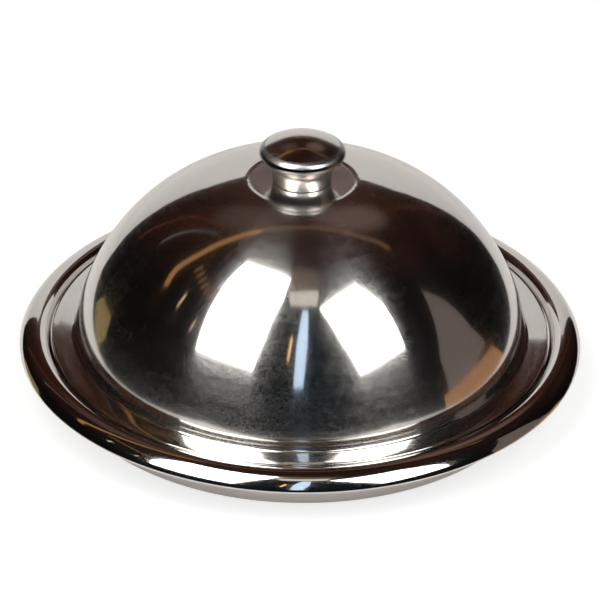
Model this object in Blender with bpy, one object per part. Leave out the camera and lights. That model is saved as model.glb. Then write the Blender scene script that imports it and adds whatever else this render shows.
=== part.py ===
"""Domed serving dish: a round steel dish, a domed cover that sits in its rim, and the cover's knob.

Metres, +Z up. The origin is the middle of the dish's underside, and +Z is the axis that every
round piece shares. Each piece is turned from an outline of (radius, height) points.
"""

import math

import bmesh
import bpy

# Dish: one sheet, from the flat bottom up the wall, over the ledge and out to the crowned rim.
SHEET = 0.0008
RIM_RADIUS = 0.1600
WALL_RADIUS = 0.1384
WALL_TAPER = math.radians(2.5)
CORNER_RADIUS = 0.0017
SHOULDER_RADIUS = 0.0012
LEDGE_HEIGHT = 0.0259
LEDGE_FILLET = 0.0015
RIM_INNER_SLOPE = math.radians(55.0)
CROWN_RADIUS = 0.1486
CROWN_HEIGHT = 0.0307
CROWN_INNER_CURVE = 0.0055
CROWN_EDGE_SLOPE = math.radians(66.0)
RIM_HEM_RADIUS = 0.0011

# Cover: a dome with a flattened seat for the knob and a flat flange with a folded edge.
GAP = 0.0003
DOME_RADIUS = 0.12904
DOME_BASE_HEIGHT = 0.0257
DOME_RISE = 0.0990
DOME_WIDTH_POWER = 0.7614
DOME_RISE_POWER = 1.295
SEAT_RADIUS = 0.0291
SEAT_STEP = 0.0004
SEAT_STEP_WIDTH = 0.0007
FLANGE_FILLET = 0.0018
FLANGE_RADIUS = 0.1412
HEM_WIDTH = 0.0042

# Knob: a lens-shaped cap on a waisted neck, both hollow, around a threaded core.
KNOB_SHEET = 0.0010
WAIST_RADIUS = 0.0164
WAIST_HEIGHT = 0.0012
WAIST_CURVE = 0.0166
NECK_HEIGHT = 0.0148
NECK_EDGE = 0.0006
CAP_RADIUS = 0.0240
CAP_CURVE = 0.0402
CAP_SHOULDER_ANGLE = math.radians(57.0)
CAP_LIP = 0.0010
CAP_OPENING_RADIUS = 0.0195
CORE_RADIUS = 0.0080
CORE_HEIGHT = 0.0110
SPIGOT_RADIUS = 0.0055

# Fixings: one screw up through the seat, with a plain and a sprung washer under its head.
SCREW_RADIUS = 0.00165
SCREW_HOLE_RADIUS = 0.00195
SCREW_LENGTH = 0.0140
SCREW_HEAD_RADIUS = 0.0036
SCREW_HEAD_HEIGHT = 0.0026
SCREW_SLOT_WIDTH = 0.0010
SCREW_SLOT_DEPTH = 0.0012
FLAT_WASHER_RADIUS = 0.0070
FLAT_WASHER_HEIGHT = 0.0010
LOCK_WASHER_RADIUS = 0.0033
LOCK_WASHER_HEIGHT = 0.0009
LOCK_WASHER_SPLIT = 0.0008

# Roundness of the turned pieces.
SHEET_SEGMENTS = 48
KNOB_SEGMENTS = 32
FIXING_SEGMENTS = 20

SMOOTH_ANGLE = math.radians(35.0)
STEEL_COLOR = (0.62, 0.60, 0.58, 1.0)
ZINC_COLOR = (0.55, 0.56, 0.58, 1.0)


def clear_scene():
    for old in list(bpy.data.objects):
        bpy.data.objects.remove(old, do_unlink=True)


def steel(name, color, roughness):
    material = bpy.data.materials.new(name)
    material.use_nodes = True
    shader = material.node_tree.nodes["Principled BSDF"]
    shader.inputs["Base Color"].default_value = color
    shader.inputs["Metallic"].default_value = 1.0
    shader.inputs["Roughness"].default_value = roughness
    material.diffuse_color = color
    return material


def arc(centre, radius, start, end, steps):
    """Points on a circle from one angle to another, both included; angles in degrees."""
    points = []
    for step in range(steps + 1):
        angle = math.radians(start + (end - start) * step / steps)
        points.append((centre[0] + radius * math.cos(angle), centre[1] + radius * math.sin(angle)))
    return points


def right_side(path, distance):
    """The path moved sideways to its right, which turns one skin of a sheet into the other."""
    moved = []
    for index, (radius, height) in enumerate(path):
        before = path[max(index - 1, 0)]
        after = path[min(index + 1, len(path) - 1)]
        normals = []
        for start, end in ((before, (radius, height)), ((radius, height), after)):
            run = end[0] - start[0]
            rise = end[1] - start[1]
            length = math.hypot(run, rise)
            if length > 0.0:
                normals.append((rise / length, -run / length))
        across = sum(normal[0] for normal in normals)
        up = sum(normal[1] for normal in normals)
        length = math.hypot(across, up)
        across /= length
        up /= length
        stretch = normals[0][0] * across + normals[0][1] * up
        moved.append((radius + distance * across / stretch, height + distance * up / stretch))
    return moved


def turn(name, outline, segments, material):
    """A solid of revolution about Z. An outline whose two ends are on the axis stays open there."""
    mesh = bpy.data.meshes.new(name)
    shape = bmesh.new()
    corners = [shape.verts.new((radius, 0.0, height)) for radius, height in outline]
    edges = [shape.edges.new(pair) for pair in zip(corners, corners[1:])]
    on_axis = outline[0][0] == 0.0 and outline[-1][0] == 0.0
    if not on_axis:
        edges.append(shape.edges.new((corners[-1], corners[0])))
    bmesh.ops.spin(shape, geom=corners + edges, cent=(0.0, 0.0, 0.0), axis=(0.0, 0.0, 1.0),
                   angle=math.tau, steps=segments, use_merge=True)
    bmesh.ops.remove_doubles(shape, verts=shape.verts, dist=1e-6)
    bmesh.ops.recalc_face_normals(shape, faces=shape.faces)
    shape.to_mesh(mesh)
    shape.free()
    mesh.shade_smooth()
    mesh.set_sharp_from_angle(angle=SMOOTH_ANGLE)
    mesh.materials.append(material)
    piece = bpy.data.objects.new(name, mesh)
    bpy.context.collection.objects.link(piece)
    return piece


def cut_slot(piece, size, centre):
    """Cut a box-shaped slot with a Boolean; the cutter stays hidden."""
    bpy.ops.mesh.primitive_cube_add(size=1.0, location=centre)
    cutter = bpy.context.object
    cutter.name = piece.name + "_cutter"
    cutter.dimensions = size
    bpy.ops.object.transform_apply(location=False, rotation=False, scale=True)
    cutter.hide_render = True
    cutter.display_type = "WIRE"
    cut = piece.modifiers.new("slot", "BOOLEAN")
    cut.operation = "DIFFERENCE"
    cut.solver = "EXACT"
    cut.object = cutter


def crown_part(start, end, curve, steps):
    """Part of the crown's round outline; angles in radians from its crest, outward positive."""
    centre = CROWN_HEIGHT - curve
    points = []
    for step in range(steps + 1):
        angle = start + (end - start) * step / steps
        points.append((CROWN_RADIUS + curve * math.sin(angle), centre + curve * math.cos(angle)))
    return points


def dish_outline():
    """The dish's upper skin from the middle of its floor to the rolled edge, then back beneath."""
    taper = math.degrees(WALL_TAPER)
    slope = math.degrees(RIM_INNER_SLOPE)

    shoulder_centre = (WALL_RADIUS + SHOULDER_RADIUS, LEDGE_HEIGHT - SHOULDER_RADIUS)
    wall_top = shoulder_centre[1] + SHOULDER_RADIUS * math.sin(WALL_TAPER)
    wall_bottom = SHEET + CORNER_RADIUS * (1.0 - math.sin(WALL_TAPER))
    foot_radius = WALL_RADIUS - (wall_top - wall_bottom) * math.tan(WALL_TAPER)
    corner_centre = (foot_radius - CORNER_RADIUS, SHEET + CORNER_RADIUS)

    inner_crown = crown_part(-RIM_INNER_SLOPE, 0.0, CROWN_INNER_CURVE, 3)
    reach = RIM_RADIUS - RIM_HEM_RADIUS * (1.0 - math.sin(CROWN_EDGE_SLOPE)) - CROWN_RADIUS
    outer_crown = crown_part(0.0, CROWN_EDGE_SLOPE, reach / math.sin(CROWN_EDGE_SLOPE), 6)
    crown = inner_crown + outer_crown[1:]

    fillet_top = LEDGE_HEIGHT + LEDGE_FILLET * (1.0 - math.cos(RIM_INNER_SLOPE))
    slope_run = (crown[0][1] - fillet_top) / math.tan(RIM_INNER_SLOPE)
    fillet_radius = crown[0][0] - slope_run - LEDGE_FILLET * math.sin(RIM_INNER_SLOPE)
    fillet_centre = (fillet_radius, LEDGE_HEIGHT + LEDGE_FILLET)

    upper = [(0.0, SHEET)]
    upper += arc(corner_centre, CORNER_RADIUS, -90.0, -taper, 3)
    upper += arc(shoulder_centre, SHOULDER_RADIUS, 180.0 - taper, 90.0, 3)
    upper += arc(fillet_centre, LEDGE_FILLET, -90.0, -90.0 + slope, 3)
    upper += crown
    edge_radius, edge_height = crown[-1]
    hem_centre = (edge_radius - RIM_HEM_RADIUS * math.sin(CROWN_EDGE_SLOPE),
                  edge_height - RIM_HEM_RADIUS * math.cos(CROWN_EDGE_SLOPE))
    edge_angle = 90.0 - math.degrees(CROWN_EDGE_SLOPE)
    upper += arc(hem_centre, RIM_HEM_RADIUS, edge_angle, -180.0, 7)[1:]
    lower = right_side(upper, SHEET)
    lower[0] = (0.0, 0.0)
    return upper + lower[::-1]


def seat_height():
    """Height of the flattened seat: the dome's own height at the seat's edge, less the step."""
    share = (SEAT_RADIUS + SEAT_STEP_WIDTH) / DOME_RADIUS
    angle = math.acos(share ** (1.0 / DOME_WIDTH_POWER))
    return DOME_BASE_HEIGHT + DOME_RISE * math.sin(angle) ** DOME_RISE_POWER - SEAT_STEP


def cover_outline():
    """The cover's outer skin from the screw hole to the folded flange edge, then back inside."""
    hem_thickness = 2.0 * SHEET
    hem_bottom = LEDGE_HEIGHT + GAP
    flange_top = hem_bottom + hem_thickness
    seat = seat_height()

    fillet_top = flange_top + FLANGE_FILLET
    base_share = (fillet_top - DOME_BASE_HEIGHT) / DOME_RISE
    base_angle = math.asin(base_share ** (1.0 / DOME_RISE_POWER))
    edge_share = (SEAT_RADIUS + SEAT_STEP_WIDTH) / DOME_RADIUS
    edge_angle = math.acos(edge_share ** (1.0 / DOME_WIDTH_POWER))
    dome_steps = 15
    dome = []
    for step in range(dome_steps + 1):
        angle = edge_angle + (base_angle - edge_angle) * step / dome_steps
        radius = DOME_RADIUS * math.cos(angle) ** DOME_WIDTH_POWER
        dome.append((radius, DOME_BASE_HEIGHT + DOME_RISE * math.sin(angle) ** DOME_RISE_POWER))

    fillet_centre = (dome[-1][0] + FLANGE_FILLET, fillet_top)
    fold_radius = FLANGE_RADIUS - HEM_WIDTH
    outer = [(SCREW_HOLE_RADIUS, seat), (SEAT_RADIUS, seat)]
    outer += dome
    outer += arc(fillet_centre, FLANGE_FILLET, 180.0, 270.0, 4)[1:]
    outer.append((fold_radius, flange_top))
    inner = right_side(outer, SHEET)
    hem_centre = (FLANGE_RADIUS - SHEET, hem_bottom + SHEET)
    hem = arc(hem_centre, SHEET, 90.0, -90.0, 4)
    return outer + hem + [(fold_radius, hem_bottom)] + inner[::-1]


def neck_radius(height):
    """Radius of the neck's hollow-sided waist at a height above the neck's base."""
    return WAIST_RADIUS + WAIST_CURVE - math.sqrt(WAIST_CURVE ** 2 - (height - WAIST_HEIGHT) ** 2)


def neck_outline(base):
    """A waisted collar with a flat floor that has a hole for the core's spigot."""
    steps = 8
    arc_top = NECK_HEIGHT - NECK_EDGE
    outer = []
    for step in range(steps + 1):
        height = arc_top * step / steps
        outer.append((neck_radius(height), base + height))
    outer.append((outer[-1][0], base + NECK_HEIGHT))
    floor_top = base + KNOB_SHEET
    inner = [(radius - KNOB_SHEET, max(height, floor_top)) for radius, height in outer]
    floor_hole = SPIGOT_RADIUS + GAP
    floor = [(floor_hole, floor_top), (floor_hole, base)]
    return outer + inner[::-1] + floor


def cap_outline(base):
    """A lens-shaped shell: a shallow dome, a round shoulder, and a lip turned in beneath."""
    lip = base + NECK_HEIGHT + GAP
    angle = CAP_SHOULDER_ANGLE
    shoulder = (CAP_RADIUS - CAP_CURVE * math.cos(angle)) / (1.0 - math.cos(angle))
    widest = lip + CAP_LIP
    shoulder_centre = (CAP_RADIUS - shoulder, widest)
    dome_centre = widest + (shoulder - CAP_CURVE) * math.sin(angle)
    outer = arc((0.0, dome_centre), CAP_CURVE, 90.0, math.degrees(angle), 7)
    outer[0] = (0.0, dome_centre + CAP_CURVE)
    outer += arc(shoulder_centre, shoulder, math.degrees(angle), 0.0, 4)[1:]
    inner = right_side(outer, KNOB_SHEET)
    inner[0] = (0.0, dome_centre + CAP_CURVE - KNOB_SHEET)
    inner[-1] = (CAP_RADIUS - KNOB_SHEET, widest)
    turned_in = arc((CAP_RADIUS - CAP_LIP, widest), CAP_LIP, 0.0, -90.0, 3)[1:]
    opening = [(CAP_OPENING_RADIUS, lip), (CAP_OPENING_RADIUS, widest)]
    return outer + turned_in + opening + inner[::-1]


def core_outline(base):
    """The threaded core: a thick sleeve that stands on the neck's floor, with a spigot below."""
    step = base + KNOB_SHEET + GAP
    top = step + CORE_HEIGHT
    return [(SCREW_HOLE_RADIUS, top), (CORE_RADIUS, top), (CORE_RADIUS, step),
            (SPIGOT_RADIUS, step), (SPIGOT_RADIUS, base), (SCREW_HOLE_RADIUS, base)]


def ring_outline(inner, outer, top, height):
    return [(inner, top), (outer, top), (outer, top - height), (inner, top - height)]


def screw_outline(head_top):
    """A round-headed screw, pointing up, with a small chamfer at its tip."""
    tip = head_top + SCREW_LENGTH
    chamfer = SCREW_RADIUS * 0.25
    head_bottom = head_top - SCREW_HEAD_HEIGHT
    rounding = SCREW_HEAD_HEIGHT * 0.6
    outline = [(0.0, tip), (SCREW_RADIUS - chamfer, tip), (SCREW_RADIUS, tip - chamfer),
               (SCREW_RADIUS, head_top), (SCREW_HEAD_RADIUS, head_top)]
    corner = (SCREW_HEAD_RADIUS - rounding, head_bottom + rounding)
    outline += arc(corner, rounding, 0.0, -90.0, 4)
    outline.append((0.0, head_bottom))
    return outline


def build_dish(material):
    turn("dish_body", dish_outline(), SHEET_SEGMENTS, material)


def build_cover(material):
    turn("cover_dome", cover_outline(), SHEET_SEGMENTS, material)


def build_knob(shell_material, core_material):
    base = seat_height() + GAP
    turn("knob_neck", neck_outline(base), KNOB_SEGMENTS, shell_material)
    turn("knob_cap", cap_outline(base), KNOB_SEGMENTS, shell_material)
    turn("knob_core", core_outline(base), FIXING_SEGMENTS, core_material)


def build_fixings(material):
    flat_top = seat_height() - SHEET - GAP
    lock_top = flat_top - FLAT_WASHER_HEIGHT - GAP
    head_top = lock_top - LOCK_WASHER_HEIGHT - GAP

    flat = ring_outline(SCREW_HOLE_RADIUS, FLAT_WASHER_RADIUS, flat_top, FLAT_WASHER_HEIGHT)
    turn("flat_washer", flat, FIXING_SEGMENTS, material)

    lock = ring_outline(SCREW_HOLE_RADIUS, LOCK_WASHER_RADIUS, lock_top, LOCK_WASHER_HEIGHT)
    lock_washer = turn("lock_washer", lock, FIXING_SEGMENTS, material)
    split_size = (LOCK_WASHER_RADIUS, LOCK_WASHER_SPLIT, 2.0 * LOCK_WASHER_HEIGHT)
    split_centre = (LOCK_WASHER_RADIUS, 0.0, lock_top - LOCK_WASHER_HEIGHT / 2.0)
    cut_slot(lock_washer, split_size, split_centre)

    screw = turn("knob_screw", screw_outline(head_top), FIXING_SEGMENTS, material)
    slot_size = (3.0 * SCREW_HEAD_RADIUS, SCREW_SLOT_WIDTH, 2.0 * SCREW_SLOT_DEPTH)
    slot_centre = (0.0, 0.0, head_top - SCREW_HEAD_HEIGHT)
    cut_slot(screw, slot_size, slot_centre)


def main():
    clear_scene()
    polished = steel("polished_steel", STEEL_COLOR, 0.08)
    knob_steel = steel("knob_steel", STEEL_COLOR, 0.12)
    zinc = steel("zinc_plated_steel", ZINC_COLOR, 0.35)
    build_dish(polished)
    build_cover(polished)
    build_knob(knob_steel, zinc)
    build_fixings(zinc)


main()
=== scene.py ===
"""Looks for the domed serving dish: finely turned shells, polished steel, and a small studio."""

import math

import bpy
import numpy as np
from mathutils import Matrix, Vector


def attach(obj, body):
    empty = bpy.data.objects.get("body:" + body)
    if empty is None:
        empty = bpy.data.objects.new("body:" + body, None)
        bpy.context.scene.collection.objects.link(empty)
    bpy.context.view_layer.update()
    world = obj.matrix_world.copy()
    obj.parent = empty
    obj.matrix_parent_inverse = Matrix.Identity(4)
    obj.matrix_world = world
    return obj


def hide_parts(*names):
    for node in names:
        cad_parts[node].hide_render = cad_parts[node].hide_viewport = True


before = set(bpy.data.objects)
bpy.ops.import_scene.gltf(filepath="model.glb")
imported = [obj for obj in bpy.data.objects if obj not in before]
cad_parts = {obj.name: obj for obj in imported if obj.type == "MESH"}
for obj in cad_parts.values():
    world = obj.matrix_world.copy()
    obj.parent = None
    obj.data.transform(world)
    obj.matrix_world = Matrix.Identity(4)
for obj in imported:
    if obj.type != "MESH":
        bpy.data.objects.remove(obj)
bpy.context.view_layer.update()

# ---------------------------------------------------------------- sizes in metres, as in the CAD model
SHEET = 0.0008
GAP = 0.0003
RIM_RADIUS = 0.1600
WALL_RADIUS = 0.1384
WALL_TAPER = math.radians(2.5)
CORNER_RADIUS = 0.0017
SHOULDER_RADIUS = 0.0012
LEDGE_HEIGHT = 0.0259
LEDGE_FILLET = 0.0015
RIM_INNER_SLOPE = math.radians(55.0)
CROWN_RADIUS = 0.1486
CROWN_HEIGHT = 0.0307
CROWN_INNER_CURVE = 0.0055
CROWN_EDGE_SLOPE = math.radians(66.0)
RIM_HEM_RADIUS = 0.0011

DOME_RADIUS = 0.12904
DOME_BASE_HEIGHT = 0.0257
DOME_RISE = 0.0990
DOME_WIDTH_POWER = 0.7614
DOME_RISE_POWER = 1.295
SEAT_RADIUS = 0.0291
SEAT_STEP = 0.0004
SEAT_STEP_WIDTH = 0.0007
FLANGE_FILLET = 0.0018
FLANGE_RADIUS = 0.1412
HEM_WIDTH = 0.0042
SCREW_HOLE_RADIUS = 0.00195

KNOB_SHEET = 0.0010
WAIST_RADIUS = 0.0164
WAIST_HEIGHT = 0.0012
WAIST_CURVE = 0.0166
NECK_HEIGHT = 0.0148
NECK_EDGE = 0.0006
CAP_RADIUS = 0.0240
CAP_CURVE = 0.0402
CAP_SHOULDER_ANGLE = math.radians(57.0)
CAP_LIP = 0.0010
CAP_OPENING_RADIUS = 0.0195
SPIGOT_RADIUS = 0.0055

# ---------------------------------------------------------------- how finely the shells are drawn
SHEET_SEGMENTS = 384
KNOB_SEGMENTS = 192
SHARP_EDGE = math.radians(40.0)
ON_AXIS = 1e-7

# ---------------------------------------------------------------- finishes, numbered as each shell lists them
WALL_AND_RIM, FLOOR = range(2)
# STEP is the seat's step, coloured with painted shade.
DOME, SEAT, FLANGE, UNDERSIDE, STEP = range(5)
# SATIN marks the cap's satin shoulder, whose material also carries painted shade.
MIRROR, SATIN = range(2)
SATIN_STARTS_AT_STEP = 28


# ---------------------------------------------------------------- turned shells
def arc(centre, radius, start, end, steps):
    """Points on a circle from one angle to another, both included; angles in degrees."""
    angles = np.radians(np.linspace(start, end, steps + 1))
    return [(centre[0] + radius * math.cos(a), centre[1] + radius * math.sin(a)) for a in angles]


def right_side(path, distance):
    """The path moved sideways to its right: the other skin of a sheet."""
    moved = []
    for index, (radius, height) in enumerate(path):
        before = path[max(index - 1, 0)]
        after = path[min(index + 1, len(path) - 1)]
        normals = []
        for start, end in ((before, (radius, height)), ((radius, height), after)):
            run = end[0] - start[0]
            rise = end[1] - start[1]
            length = math.hypot(run, rise)
            if length > 0.0:
                normals.append((rise / length, -run / length))
        across = sum(n[0] for n in normals)
        up = sum(n[1] for n in normals)
        length = math.hypot(across, up)
        across /= length
        up /= length
        stretch = normals[0][0] * across + normals[0][1] * up
        moved.append((radius + distance * across / stretch, height + distance * up / stretch))
    return moved


def turn(name, outline, zones, segments, materials, wobble=None):
    """A surface of revolution about Z.

    zones gives each step of the outline the number of its material. wobble, where there is one,
    moves a point a little, given its step, angle, radius and height."""
    rings = []
    verts = []
    angles = np.arange(segments) * math.tau / segments
    for index, (radius, height) in enumerate(outline):
        if radius < ON_AXIS:
            rings.append([len(verts)] * segments)
            verts.append((0.0, 0.0, height))
            continue
        rings.append(list(range(len(verts), len(verts) + segments)))
        for angle in angles:
            r, z = radius, height
            if wobble:
                r, z = wobble(index, angle, r, z)
            verts.append((r * math.sin(angle), -r * math.cos(angle), z))
    faces = []
    numbers = []
    closed = outline[0][0] > ON_AXIS or outline[-1][0] > ON_AXIS
    steps = len(outline) if closed else len(outline) - 1
    for index in range(steps):
        here = rings[index]
        there = rings[(index + 1) % len(outline)]
        for j in range(segments):
            k = (j + 1) % segments
            corners = [here[j], there[j], there[k], here[k]]
            kept = [c for n, c in enumerate(corners) if c != corners[n - 1]]
            if len(kept) > 2:
                faces.append(kept)
                numbers.append(zones[index % len(zones)])
    mesh = bpy.data.meshes.new(name)
    mesh.from_pydata(verts, [], faces)
    for material in materials:
        mesh.materials.append(material)
    mesh.polygons.foreach_set("material_index", numbers)
    mesh.update()
    mesh.shade_smooth()
    mesh.set_sharp_from_angle(angle=SHARP_EDGE)
    piece = bpy.data.objects.new(name, mesh)
    bpy.context.scene.collection.objects.link(piece)
    return piece


def crown_part(start, end, curve, steps):
    """Part of the crown's round outline; angles in radians from its crest, outward positive."""
    points = []
    for angle in np.linspace(start, end, steps + 1):
        height = CROWN_HEIGHT - curve * (1.0 - math.cos(angle))
        points.append((CROWN_RADIUS + curve * math.sin(angle), height))
    return points


def dish_outline():
    """The dish's outline in radius and height, and the finish of each step.

    It runs up the inner skin from the middle of the floor to the rolled edge, then back below."""
    taper = math.degrees(WALL_TAPER)
    slope = math.degrees(RIM_INNER_SLOPE)
    shoulder_centre = (WALL_RADIUS + SHOULDER_RADIUS, LEDGE_HEIGHT - SHOULDER_RADIUS)
    wall_top = shoulder_centre[1] + SHOULDER_RADIUS * math.sin(WALL_TAPER)
    wall_bottom = SHEET + CORNER_RADIUS * (1.0 - math.sin(WALL_TAPER))
    foot_radius = WALL_RADIUS - (wall_top - wall_bottom) * math.tan(WALL_TAPER)
    corner_centre = (foot_radius - CORNER_RADIUS, SHEET + CORNER_RADIUS)
    reach = RIM_RADIUS - RIM_HEM_RADIUS * (1.0 - math.sin(CROWN_EDGE_SLOPE)) - CROWN_RADIUS
    crown = crown_part(-RIM_INNER_SLOPE, 0.0, CROWN_INNER_CURVE, 14)
    crown += crown_part(0.0, CROWN_EDGE_SLOPE, reach / math.sin(CROWN_EDGE_SLOPE), 32)[1:]
    fillet_top = LEDGE_HEIGHT + LEDGE_FILLET * (1.0 - math.cos(RIM_INNER_SLOPE))
    slope_run = (crown[0][1] - fillet_top) / math.tan(RIM_INNER_SLOPE)
    fillet_radius = crown[0][0] - slope_run - LEDGE_FILLET * math.sin(RIM_INNER_SLOPE)
    fillet_centre = (fillet_radius, LEDGE_HEIGHT + LEDGE_FILLET)

    upper = [(0.0, SHEET)]
    upper += [(share * corner_centre[0], SHEET) for share in (0.25, 0.5, 0.75, 0.95)]
    floor_steps = len(upper)
    upper += arc(corner_centre, CORNER_RADIUS, -90.0, -taper, 10)
    upper += arc(shoulder_centre, SHOULDER_RADIUS, 180.0 - taper, 90.0, 10)
    upper += arc(fillet_centre, LEDGE_FILLET, -90.0, -90.0 + slope, 10)
    upper += crown
    edge_radius, edge_height = crown[-1]
    hem_centre = (edge_radius - RIM_HEM_RADIUS * math.sin(CROWN_EDGE_SLOPE),
                  edge_height - RIM_HEM_RADIUS * math.cos(CROWN_EDGE_SLOPE))
    edge_angle = 90.0 - math.degrees(CROWN_EDGE_SLOPE)
    upper += arc(hem_centre, RIM_HEM_RADIUS, edge_angle, -180.0, 18)[1:]
    lower = right_side(upper, SHEET)
    lower[0] = (0.0, 0.0)
    outline = upper + lower[::-1]
    return outline, [FLOOR] * floor_steps + [WALL_AND_RIM] * (len(outline) - floor_steps)


def seat_height():
    """How high the flat seat lies, a small step below the dome's curve at the seat's edge."""
    share = (SEAT_RADIUS + SEAT_STEP_WIDTH) / DOME_RADIUS
    angle = math.acos(share ** (1.0 / DOME_WIDTH_POWER))
    return DOME_BASE_HEIGHT + DOME_RISE * math.sin(angle) ** DOME_RISE_POWER - SEAT_STEP


def cover_outline():
    """The cover's outline, the finish of each step, and the number of the step at the seat's edge.

    It runs from the screw hole over the dome to the flange's fold, then back inside."""
    hem_bottom = LEDGE_HEIGHT + GAP
    flange_top = hem_bottom + 2.0 * SHEET
    seat = seat_height()
    fillet_top = flange_top + FLANGE_FILLET
    base_share = (fillet_top - DOME_BASE_HEIGHT) / DOME_RISE
    base_angle = math.asin(base_share ** (1.0 / DOME_RISE_POWER))
    edge_share = (SEAT_RADIUS + SEAT_STEP_WIDTH) / DOME_RADIUS
    edge_angle = math.acos(edge_share ** (1.0 / DOME_WIDTH_POWER))
    dome = []
    for angle in np.linspace(edge_angle, base_angle, 97):
        radius = DOME_RADIUS * math.cos(angle) ** DOME_WIDTH_POWER
        dome.append((radius, DOME_BASE_HEIGHT + DOME_RISE * math.sin(angle) ** DOME_RISE_POWER))
    fillet_centre = (dome[-1][0] + FLANGE_FILLET, fillet_top)
    fold_radius = FLANGE_RADIUS - HEM_WIDTH

    outer = [(SCREW_HOLE_RADIUS, seat), (0.012, seat), (0.020, seat), (0.026, seat)]
    outer += [(SEAT_RADIUS - 0.0003, seat), (SEAT_RADIUS, seat)]
    step_start = len(outer) - 1
    outer += dome
    outer += arc(fillet_centre, FLANGE_FILLET, 180.0, 270.0, 12)[1:]
    flange_start = len(outer) - 3
    outer.append((fold_radius, flange_top))
    inner = right_side(outer, SHEET)
    hem_centre = (FLANGE_RADIUS - SHEET, hem_bottom + SHEET)
    hem = arc(hem_centre, SHEET, 90.0, -90.0, 12)
    outline = outer + hem + [(fold_radius, hem_bottom)] + inner[::-1]
    zones = [SEAT] * step_start + [STEP]
    zones += [DOME] * (flange_start - len(zones))
    zones += [FLANGE] * (len(outer) + len(hem) - len(zones))
    zones += [UNDERSIDE] * (len(outline) - len(zones))
    return outline, zones, step_start


def neck_outline(base):
    """The knob's waisted neck with its floor, and the finish of each step, whose steel carries painted sheen;
    base is its foot's height.
    """
    arc_top = NECK_HEIGHT - NECK_EDGE
    outer = []
    for height in np.linspace(0.0, arc_top, 33):
        reach = math.sqrt(WAIST_CURVE ** 2 - (height - WAIST_HEIGHT) ** 2)
        outer.append((WAIST_RADIUS + WAIST_CURVE - reach, base + height))
    top = outer[-1][0]
    outer += [(top, base + NECK_HEIGHT - 0.0002), (top - 0.0002, base + NECK_HEIGHT)]
    floor_top = base + KNOB_SHEET
    inner = [(radius - KNOB_SHEET, max(height, floor_top)) for radius, height in outer[:-1]]
    inner.append((top - KNOB_SHEET, base + NECK_HEIGHT))
    start = next(n for n, point in enumerate(inner) if point[1] > floor_top + 1e-6)
    inner = [(inner[0][0], floor_top)] + inner[start:]
    hole = SPIGOT_RADIUS + GAP
    outline = outer + inner[::-1] + [(hole, floor_top), (hole, base)]
    return outline, [MIRROR] * len(outline)


def cap_outline(base):
    """The knob's lens-shaped cap, and the finish of each step: satin from the shoulder to the lip, with
    painted shade there too.
    """
    lip = base + NECK_HEIGHT + GAP
    angle = CAP_SHOULDER_ANGLE
    shoulder = (CAP_RADIUS - CAP_CURVE * math.cos(angle)) / (1.0 - math.cos(angle))
    widest = lip + CAP_LIP
    shoulder_centre = (CAP_RADIUS - shoulder, widest)
    dome_centre = widest + (shoulder - CAP_CURVE) * math.sin(angle)
    outer = arc((0.0, dome_centre), CAP_CURVE, 90.0, math.degrees(angle), 30)
    outer[0] = (0.0, dome_centre + CAP_CURVE)
    outer += arc(shoulder_centre, shoulder, math.degrees(angle), 0.0, 18)[1:]
    inner = right_side(outer, KNOB_SHEET)
    inner[0] = (0.0, dome_centre + CAP_CURVE - KNOB_SHEET)
    inner[-1] = (CAP_RADIUS - KNOB_SHEET, widest)
    turned_in = arc((CAP_RADIUS - CAP_LIP, widest), CAP_LIP, 0.0, -90.0, 10)[1:]
    opening = [(CAP_OPENING_RADIUS, lip), (CAP_OPENING_RADIUS, widest)]
    satin_end = len(outer) + len(turned_in)
    outline = outer + turned_in + opening + inner[::-1]
    satin_steps = range(SATIN_STARTS_AT_STEP, satin_end)
    return outline, [SATIN if index in satin_steps else MIRROR for index in range(len(outline))]


# ---------------------------------------------------------------- materials
GRAIN_PER_RADIAN = 360.0
BANDS_PER_RADIAN = 3.0
BAND_PITCH = 0.004
BAND_PULL = 0.014
GRAIN_EDGE = 0.05
SPECK_COLOR = (0.30, 0.27, 0.24, 1.0)


class Nodes:
    """Short calls for building a node tree."""

    def __init__(self, tree):
        self.tree = tree

    def add(self, kind, values=None, **settings):
        node = self.tree.nodes.new(kind)
        for key, value in settings.items():
            setattr(node, key, value)
        for key, value in (values or {}).items():
            self.fill(node.inputs[key], value)
        return node

    def fill(self, socket, value):
        """Links the socket to another one, or sets its value."""
        if isinstance(value, bpy.types.NodeSocket):
            self.tree.links.new(value, socket)
        else:
            socket.default_value = value

    def math(self, operation, a, b=0.0, c=0.0):
        return self.add("ShaderNodeMath", {0: a, 1: b, 2: c}, operation=operation).outputs[0]

    def remap(self, value, low, high, to_low, to_high):
        values = {"Value": value, "From Min": low, "From Max": high, "To Min": to_low, "To Max": to_high}
        return self.add("ShaderNodeMapRange", values, interpolation_type="SMOOTHSTEP").outputs[0]

    def mix_color(self, share, a, b):
        node = self.add("ShaderNodeMix", data_type="RGBA")
        for socket, value in ((0, share), (6, a), (7, b)):
            self.fill(node.inputs[socket], value)
        return node.outputs[2]


def new_material(name):
    material = bpy.data.materials.new(name)
    material.use_nodes = True
    tree = material.node_tree
    return material, Nodes(tree), tree.nodes["Principled BSDF"]


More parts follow.
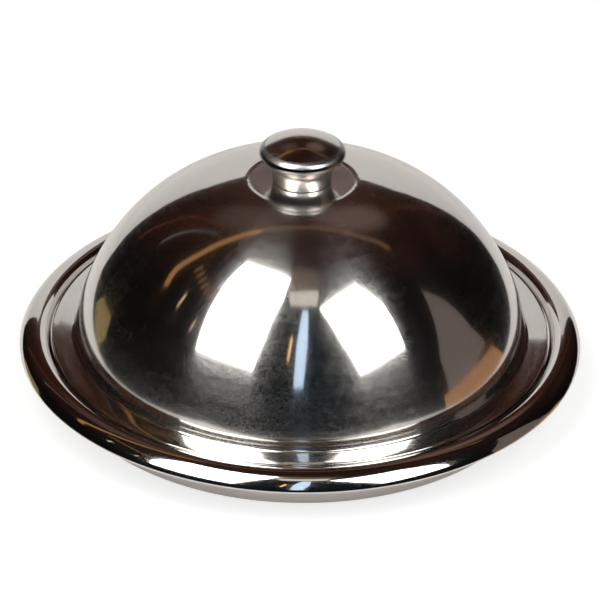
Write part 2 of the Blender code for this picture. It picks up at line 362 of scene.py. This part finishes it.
def steel(name, tint, dull_tint, roughness, haze, haze_share, smudge, wave, aniso, ring_mm=0.11, turn_by=0.25,
          seed=0.0):
    """Polished sheet steel: a clear mirror crossed by fine hazy grain that runs round the axis.

    roughness is the clear mirror's and haze the grain's; haze_share is how much of the surface
    the grain takes; smudge is what the faint patches add; wave is the height in metres of the
    slow unevenness that spinning leaves in the sheet. aniso draws reflections out, across the
    grain when turn_by is a quarter and along it when it is 0. ring_mm is the grain's width."""
    material, n, shader = new_material(name)
    place = n.add("ShaderNodeTexCoord").outputs["Object"]
    parts = n.add("ShaderNodeSeparateXYZ", {0: place}).outputs
    flat = n.add("ShaderNodeCombineXYZ", {0: parts[0], 1: parts[1], 2: 0.0}).outputs[0]
    radius = n.add("ShaderNodeVectorMath", {0: flat}, operation="LENGTH").outputs["Value"]
    way = n.add("ShaderNodeVectorMath", {0: flat}, operation="NORMALIZE").outputs[0]

    def rings(around, pitch, detail, shift):
        """Noise drawn out round the axis: around streaks to a radian, pitch metres wide."""
        spread = n.add("ShaderNodeVectorMath", {0: way, 3: around}, operation="SCALE").outputs[0]
        step = n.add("ShaderNodeSeparateXYZ", {0: spread}).outputs
        out = n.math("MULTIPLY", radius, 1.0 / pitch)
        up = n.math("MULTIPLY_ADD", parts[2], 1.0 / pitch, shift + seed)
        where = n.add("ShaderNodeCombineXYZ", {0: step[0], 1: step[1], 2: out}).outputs[0]
        values = {"Vector": where, "W": up, "Scale": 1.0, "Detail": detail, "Roughness": 0.6}
        return n.add("ShaderNodeTexNoise", values, noise_dimensions="4D").outputs["Fac"]

    def clouds(scale, detail, shift):
        """Shapeless noise, scale patches to a metre."""
        values = {"Vector": place, "W": shift + seed, "Scale": scale, "Detail": detail}
        return n.add("ShaderNodeTexNoise", values, noise_dimensions="4D").outputs["Fac"]

    fine = rings(GRAIN_PER_RADIAN, ring_mm * 0.001, 2.0, 0.0)
    broad = rings(BANDS_PER_RADIAN, BAND_PITCH, 3.0, 7.3)
    patch = n.remap(clouds(22.0, 4.0, 3.1), 0.45, 0.75, 0.0, 1.0)
    level = 0.5 + 0.16 * (0.5 - haze_share)
    worn_here = n.math("MULTIPLY_ADD", n.remap(broad, 0.35, 0.70, -1.0, 1.0), BAND_PULL, fine)
    grain = n.remap(worn_here, level - GRAIN_EDGE, level + GRAIN_EDGE, 0.0, 1.0)

    spots = n.add("ShaderNodeTexVoronoi", {"Vector": place, "Scale": 260.0, "Randomness": 1.0})
    spot_size = n.remap(spots.outputs["Distance"], 0.04, 0.13, 1.0, 0.0)
    rare = n.remap(clouds(70.0, 2.0, 11.9), 0.62, 0.70, 0.0, 1.0)
    speck = n.math("MULTIPLY", spot_size, rare)

    rough = n.math("MULTIPLY_ADD", grain, haze - roughness, roughness)
    rough = n.math("MULTIPLY_ADD", patch, smudge, rough)
    rough = n.math("MULTIPLY_ADD", speck, 0.20, rough)
    worn = n.math("MULTIPLY_ADD", patch, 0.35, n.math("MULTIPLY", grain, 0.45))
    color = n.mix_color(worn, tint, dull_tint)
    color = n.mix_color(n.math("MULTIPLY", speck, 0.40), color, SPECK_COLOR)

    height = n.math("MULTIPLY", clouds(11.0, 1.0, 5.7), wave)
    height = n.math("MULTIPLY_ADD", fine, ring_mm * 1.2e-6, height)
    bump = n.add("ShaderNodeBump", {"Height": height, "Strength": 1.0, "Distance": 1.0})
    tangent = n.add("ShaderNodeTangent", direction_type="RADIAL", axis="Z")

    links = n.tree.links
    links.new(color, shader.inputs["Base Color"])
    links.new(rough, shader.inputs["Roughness"])
    links.new(bump.outputs[0], shader.inputs["Normal"])
    links.new(tangent.outputs[0], shader.inputs["Tangent"])
    shader.inputs["Metallic"].default_value = 1.0
    shader.inputs["Anisotropic"].default_value = aniso
    shader.inputs["Anisotropic Rotation"].default_value = turn_by
    return material


BRIGHT = (0.70, 0.68, 0.66, 1.0)
DULL = (0.60, 0.575, 0.55, 1.0)

dome_steel = steel("dome_steel", BRIGHT, DULL, roughness=0.072, haze=0.27, haze_share=0.09,
                   smudge=0.015, wave=8e-5, aniso=0.87)
seat_steel = steel("seat_steel", BRIGHT, (0.50, 0.46, 0.45, 1.0), roughness=0.07, haze=0.24, haze_share=0.22,
                   smudge=0.05, wave=4e-5, aniso=0.3, seed=2.0)
flange_steel = steel("flange_steel", BRIGHT, DULL, roughness=0.045, haze=0.20, haze_share=0.10,
                     smudge=0.02, wave=4e-5, aniso=0.4, seed=4.0)
inside_steel = steel("inside_steel", BRIGHT, DULL, roughness=0.15, haze=0.34, haze_share=0.5,
                     smudge=0.05, wave=1e-4, aniso=0.7, ring_mm=0.4, seed=6.0)
rim_steel = steel("rim_steel", BRIGHT, DULL, roughness=0.03, haze=0.14, haze_share=0.15,
                  smudge=0.02, wave=4e-5, aniso=0.2, seed=8.0)
cap_steel = steel("cap_finish", BRIGHT, DULL, roughness=0.10, haze=0.16, haze_share=0.2,
                  smudge=0.02, wave=0.0, aniso=0.9, turn_by=0.0, seed=10.0)
# The cap's shoulder is satin, and its tint is darker than the cap's top: painted shade on the shoulder.
shoulder_satin_and_shade = steel("shoulder_satin_painted_shade", (0.46, 0.455, 0.45, 1.0), (0.40, 0.39, 0.38, 1.0), roughness=0.21,
                       haze=0.25, haze_share=0.3, smudge=0.02, wave=0.0, aniso=0.85, turn_by=0.0, seed=11.0)
# The neck's tint is brighter and warmer than the other steel: part steel colour, part painted warm sheen
# standing in for the bright reflection round the neck.
neck_steel_with_sheen = steel("neck_steel_painted_sheen", (0.80, 0.765, 0.71, 1.0), (0.66, 0.62, 0.56, 1.0), roughness=0.20,
                   haze=0.34, haze_share=0.40, smudge=0.04, wave=0.0, aniso=0.8, turn_by=0.0, seed=12.0)
# The seat's step is dark brown and rough: painted shade in the step's crease.
step_shade_steel = steel("step_painted_shade", (0.40, 0.34, 0.31, 1.0), (0.20, 0.15, 0.13, 1.0), roughness=0.30,
                   haze=0.55, haze_share=0.5, smudge=0.25, wave=0.0, aniso=0.3, ring_mm=0.3, seed=13.0)
zinc = steel("zinc_finish", (0.58, 0.60, 0.62, 1.0), (0.44, 0.42, 0.36, 1.0), roughness=0.28,
             haze=0.45, haze_share=0.5, smudge=0.08, wave=0.0, aniso=0.3, seed=14.0)

# ---------------------------------------------------------------- the pieces
outline, zones = dish_outline()
dish = turn("dish_shell", outline, zones, SHEET_SEGMENTS, [rim_steel, inside_steel])
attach(dish, "dish")
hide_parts("dish_body")

outline, zones, step_start = cover_outline()


def seat_edge(index, angle, radius, height):
    """The hand-dressed edge of the seat wanders a little round the ring."""
    near = {step_start: 1.0, step_start - 1: 0.5, step_start + 1: 0.6}.get(index, 0.0)
    wander = math.sin(23 * angle) + math.sin(41 * angle + 1.3) + math.sin(67 * angle + 4.0)
    return radius + near * 4.0e-5 * wander, height + near * 1.5e-5 * math.sin(53 * angle + 2.0)


cover = turn("cover_shell", outline, zones, SHEET_SEGMENTS,
             [dome_steel, seat_steel, flange_steel, inside_steel, step_shade_steel], seat_edge)
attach(cover, "cover")
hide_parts("cover_dome")

knob_base = seat_height() + GAP
outline, zones = neck_outline(knob_base)
neck = turn("neck_shell", outline, zones, KNOB_SEGMENTS, [neck_steel_with_sheen])
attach(neck, "cover")
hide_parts("knob_neck")

outline, zones = cap_outline(knob_base)
cap = turn("cap_shell", outline, zones, KNOB_SEGMENTS, [cap_steel, shoulder_satin_and_shade])
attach(cap, "cover")
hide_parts("knob_cap")

for node in ("knob_core", "flat_washer", "lock_washer", "knob_screw"):
    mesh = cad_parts[node].data
    mesh.materials.clear()
    mesh.materials.append(zinc)

# ---------------------------------------------------------------- studio
BLACK = (0.0, 0.0, 0.0)
WHITE = (1.0, 0.985, 0.96)
WARM = (1.0, 0.72, 0.42)
REDDISH = (1.0, 0.30, 0.17)
SOFTBOX_STRENGTH = 5.6
FLOOR_HALF = 9.0
FLOOR_DROP = 2e-4
PAPER_DROP = 1e-4
SLATS = 7
SLAT_PITCH = 0.10


def stage_material(name, base, glow, strength, roughness=0.6):
    """Matte paint or paper that also gives off a glow of its own; a black base leaves only that."""
    material, _, shader = new_material(name)
    shader.inputs["Base Color"].default_value = (*base, 1.0)
    shader.inputs["Roughness"].default_value = roughness
    shader.inputs["Specular IOR Level"].default_value = 0.0
    shader.inputs["Emission Color"].default_value = (*glow, 1.0)
    shader.inputs["Emission Strength"].default_value = strength
    return material


def stage_mesh(name, corners, faces, material):
    mesh = bpy.data.meshes.new(name)
    mesh.from_pydata(corners, [], faces)
    mesh.materials.append(material)
    obj = bpy.data.objects.new(name, mesh)
    bpy.context.scene.collection.objects.link(obj)
    return obj


def off_camera(obj):
    obj.visible_camera = False
    obj.visible_shadow = False
    return obj


def card(name, corners, color, strength):
    """A flat panel of light or colour, seen only in reflections."""
    material = stage_material(name, BLACK, color, strength)
    return off_camera(stage_mesh(name, corners, [list(range(len(corners)))], material))


def rod(name, points, thickness, color, strength):
    """A thin glowing edge or tube, seen only in reflections."""
    curve = bpy.data.curves.new(name, "CURVE")
    curve.dimensions = "3D"
    curve.bevel_depth = thickness / 2.0
    spline = curve.splines.new("NURBS")
    spline.points.add(len(points) - 1)
    for point, place in zip(spline.points, points):
        point.co = (*place, 1.0)
    spline.order_u = 3
    spline.use_endpoint_u = True
    curve.materials.append(stage_material(name, BLACK, color, strength))
    obj = bpy.data.objects.new(name, curve)
    bpy.context.scene.collection.objects.link(obj)
    return off_camera(obj)


def sheet_of_paper():
    """White paper that runs back under the dish to a pale panel. Only reflections see it."""
    left = [(-0.25, -0.32, 0.0), (-0.27, -0.02, 0.0), (-0.295, 0.06, 0.0), (-0.31, 0.13, 0.0),
            (-0.32, 0.20, 0.0), (-0.36, 0.32, 0.0), (-0.49, 0.52, 0.0), (-0.65, 0.74, 0.0),
            (-0.67, 0.80, 0.03), (-0.64, 0.80, 0.12), (-0.58, 0.80, 0.27), (-0.48, 0.80, 0.40),
            (-0.34, 0.80, 0.50), (-0.25, 0.80, 0.515), (-0.14, 0.80, 0.50)]
    right = [(0.25, -0.32, 0.0), (0.262, -0.02, 0.0), (0.27, 0.08, 0.0), (0.275, 0.15, 0.0),
             (0.285, 0.20, 0.0), (0.33, 0.32, 0.0), (0.44, 0.52, 0.0), (0.56, 0.74, 0.0),
             (0.58, 0.80, 0.03), (0.57, 0.80, 0.15), (0.53, 0.80, 0.30), (0.45, 0.80, 0.43),
             (0.34, 0.80, 0.52), (0.25, 0.80, 0.53), (0.14, 0.80, 0.50)]
    corners = [(x, y, z - PAPER_DROP) for x, y, z in left + right]
    count = len(left)
    faces = [(i, count + i, count + i + 1, i + 1) for i in range(count - 1)]
    material = stage_material("paper", (0.74, 0.72, 0.71), (1.0, 0.975, 0.96), 0.13)
    return off_camera(stage_mesh("paper", corners, faces, material))


def camera_floor():
    """The plain pale floor that the camera sees."""
    side = FLOOR_HALF
    corners = [(x, y, -FLOOR_DROP) for x, y in ((-side, -side), (side, -side), (side, side), (-side, side))]
    material = stage_material("floor", (0.46, 0.46, 0.46), (1.0, 1.0, 1.0), 0.70, roughness=0.9)
    obj = stage_mesh("floor", corners, [(0, 1, 2, 3)], material)
    obj.visible_diffuse = False
    obj.visible_glossy = False
    return obj


def softboxes():
    """The two large lights and what shows in the gap between and behind them."""
    card("softbox_left", [(-0.55, 0.07, 1.51), (-0.11, -0.28, 1.59), (-0.21, -0.64, 1.48),
                          (-0.45, -1.11, 1.11), (-0.60, -1.31, 0.74), (-1.22, -0.78, 0.70),
                          (-0.98, -0.40, 1.22)], WHITE, SOFTBOX_STRENGTH)
    card("softbox_right", [(0.61, -0.29, 1.47), (0.23, -0.75, 1.42), (0.51, -1.09, 1.10),
                           (0.77, -1.27, 0.67), (1.23, -0.74, 0.74), (0.95, -0.45, 1.23)],
         WHITE, SOFTBOX_STRENGTH)
    card("back_glow", [(-0.10, 0.82, 0.565), (0.10, 0.82, 0.565), (0.10, 0.82, 0.70), (-0.10, 0.82, 0.70)],
         (0.145, 0.095, 0.086), 1.0)
    card("window_gap", [(0.03, -0.89, 1.60), (0.11, -0.89, 1.59), (0.11, -1.35, 1.24),
                        (0.05, -1.69, 0.66), (-0.09, -1.69, 0.66), (-0.05, -1.36, 1.23)],
         (0.62, 0.80, 1.0), 1.5)
    card("ceiling_patch", [(-0.16, -0.57, 1.72), (0.24, -0.53, 1.73), (0.23, -0.81, 1.62),
                           (-0.14, -0.82, 1.63)], (1.0, 0.95, 0.82), 0.85)


def lamp_edges():
    """Thin bright edges of a lamp overhead and to the left."""
    rod("lamp_slit", [(-0.12, -1.27, 1.33), (-0.14, -1.38, 1.20), (-0.18, -1.50, 1.03)], 0.025,
        (1.0, 0.62, 0.25), 2.2)
    rod("lamp_arc", [(-1.42, 0.19, 0.92), (-1.32, 0.32, 1.02), (-1.17, 0.36, 1.18), (-1.00, 0.40, 1.31),
                     (-0.83, 0.47, 1.40), (-0.60, 0.56, 1.48), (-0.34, 0.67, 1.51)],
        0.085, (1.0, 0.52, 0.19), 0.42)
    rod("lamp_arc_far", [(-0.34, 0.67, 1.51), (-0.01, 0.77, 1.50), (0.33, 0.69, 1.51),
                         (0.53, 0.59, 1.49), (0.74, 0.54, 1.42), (0.85, 0.47, 1.39)],
        0.075, (1.0, 0.55, 0.30), 0.17)
    rod("lamp_dash_low", [(-1.41, -0.19, 0.95), (-1.35, -0.16, 1.03), (-1.31, -0.12, 1.10)], 0.022,
        WARM, 1.5)
    rod("lamp_dash_high", [(-1.35, -0.59, 0.88), (-1.32, -0.57, 0.94), (-1.28, -0.54, 1.01)], 0.022,
        WARM, 1.3)


def furnishings():
    """Dim edges of walls, a slatted blind and the coloured things that stand at the sides."""
    rod("wall_edge", [(-1.12, 0.80, 0.77), (-1.05, 0.81, 0.87), (-0.89, 0.78, 1.06), (-0.78, 0.71, 1.19),
                      (-0.69, 0.63, 1.29)], 0.035, (1.0, 0.92, 0.93), 0.13)
    rod("wall_trim", [(-1.08, 1.07, 0.37), (-1.03, 1.06, 0.52), (-0.93, 1.01, 0.76), (-0.79, 0.98, 0.95),
                      (-0.70, 0.89, 1.10), (-0.63, 0.75, 1.25)], 0.03, REDDISH, 0.10)
    rod("wall_trim_right", [(0.53, 0.99, 1.11), (0.65, 1.09, 0.93), (0.75, 1.18, 0.71), (0.86, 1.20, 0.50)],
        0.03, REDDISH, 0.09)
    for number in range(SLATS):
        low = -0.47 + SLAT_PITCH * number
        card("warm_slat_%d" % number, [(-1.13, low, 1.23), (-1.04, low + 0.01, 1.31),
                                       (-1.03, low + 0.06, 1.32), (-1.13, low + 0.05, 1.24)],
             (1.0, 0.52, 0.26), 0.22)
    card("cool_spot", [(-0.96, -0.22, 1.40), (-0.88, -0.19, 1.46), (-0.85, -0.30, 1.46),
                       (-0.94, -0.36, 1.39)], (0.62, 0.82, 1.0), 0.45)
    card("wooden_box", [(0.40, -0.19, -0.09), (0.41, -0.20, 0.02), (0.45, -0.05, 0.03),
                        (0.44, 0.06, 0.02), (0.42, 0.12, -0.05)], (1.0, 0.50, 0.24), 0.42)
    card("grey_door", [(0.80, -0.01, 0.66), (0.90, 0.06, 0.50), (0.98, 0.12, 0.19), (0.97, 0.20, 0.03),
                       (0.99, -0.02, 0.0), (0.95, -0.31, -0.02), (0.93, -0.30, 0.24)],
         (1.0, 0.82, 0.74), 0.16)
    card("yellow_bag", [(-0.48, 0.30, -0.02), (-0.50, 0.27, 0.03), (-0.56, 0.16, 0.06),
                        (-0.56, 0.13, -0.01), (-0.54, 0.17, -0.06)], (1.0, 0.74, 0.30), 0.28)


def dark_room():
    """The world: a plain pale backdrop for the camera, and a dark warm room for everything else."""
    world = bpy.data.worlds.new("studio")
    bpy.context.scene.world = world
    world.use_nodes = True
    world.node_tree.nodes.clear()
    n = Nodes(world.node_tree)
    way = n.add("ShaderNodeTexCoord").outputs["Generated"]

    def toward(azimuth, elevation, narrow, wide):
        """1 within narrow degrees of a direction, 0 beyond wide; azimuth 0 is behind the dish."""
        a = math.radians(azimuth)
        e = math.radians(elevation)
        aim = (math.cos(e) * math.sin(a), math.cos(e) * math.cos(a), math.sin(e))
        unit = n.add("ShaderNodeVectorMath", {0: way}, operation="NORMALIZE").outputs[0]
        dot = n.add("ShaderNodeVectorMath", {0: unit, 1: aim}, operation="DOT_PRODUCT").outputs["Value"]
        return n.remap(dot, math.cos(math.radians(wide)), math.cos(math.radians(narrow)), 0.0, 1.0)

    drift = n.add("ShaderNodeTexNoise", {"Vector": way, "Scale": 3.0, "Detail": 3.0}).outputs["Fac"]
    red_share = n.math("MULTIPLY", toward(0.0, 45.0, 10.0, 62.0), n.remap(drift, 0.30, 0.65, 0.35, 1.0))
    front_share = toward(180.0, 20.0, 15.0, 75.0)
    room = n.mix_color(front_share, (0.0045, 0.0042, 0.0040, 1.0), (0.0035, 0.0060, 0.0085, 1.0))
    room = n.mix_color(red_share, room, (0.042, 0.015, 0.010, 1.0))
    room = n.mix_color(toward(-23.0, 50.0, 2.0, 12.0), room, (0.085, 0.052, 0.045, 1.0))
    room = n.mix_color(toward(21.0, 50.0, 2.0, 12.0), room, (0.15, 0.095, 0.082, 1.0))
    room = n.mix_color(toward(180.0, 81.0, 2.0, 11.0), room, (0.15, 0.105, 0.078, 1.0))
    dark = n.add("ShaderNodeBackground", {"Color": room, "Strength": 1.0}).outputs[0]
    pale = n.add("ShaderNodeBackground", {"Color": (0.96, 0.96, 0.96, 1.0), "Strength": 1.0}).outputs[0]
    seen = n.add("ShaderNodeLightPath").outputs["Is Camera Ray"]
    both = n.add("ShaderNodeMixShader", {0: seen, 1: dark, 2: pale}).outputs[0]
    n.add("ShaderNodeOutputWorld", {"Surface": both})


camera_floor()
sheet_of_paper()
softboxes()
lamp_edges()
furnishings()
dark_room()
bpy.context.scene.view_settings.view_transform = "Standard"
bpy.context.scene.view_settings.look = "None"

# ---------------------------------------------------------------- camera
CAMERA_DISTANCE = 1.60
CAMERA_ELEVATION = math.radians(31.75)
CAMERA_LENS = 167.4
AIM_POINT = Vector((0.0, 0.0, 0.0184))
PITCH = math.radians(0.8098)
YAW = math.radians(-0.0123)
ROLL = math.radians(0.74)

camera_data = bpy.data.cameras.new("camera")
camera_data.lens = CAMERA_LENS
camera_data.sensor_width = 36.0
camera_data.clip_start = 0.05
camera_data.clip_end = 40.0
camera = bpy.data.objects.new("camera", camera_data)
bpy.context.scene.collection.objects.link(camera)
back = Vector((0.0, -math.cos(CAMERA_ELEVATION), math.sin(CAMERA_ELEVATION)))
turned = back.to_track_quat("Z", "Y").to_matrix()
tilt = Matrix.Rotation(PITCH, 3, "X") @ Matrix.Rotation(-YAW, 3, "Y") @ Matrix.Rotation(ROLL, 3, "Z")
camera.matrix_world = Matrix.Translation(AIM_POINT + back * CAMERA_DISTANCE) @ (turned @ tilt).to_4x4()
bpy.context.scene.camera = camera
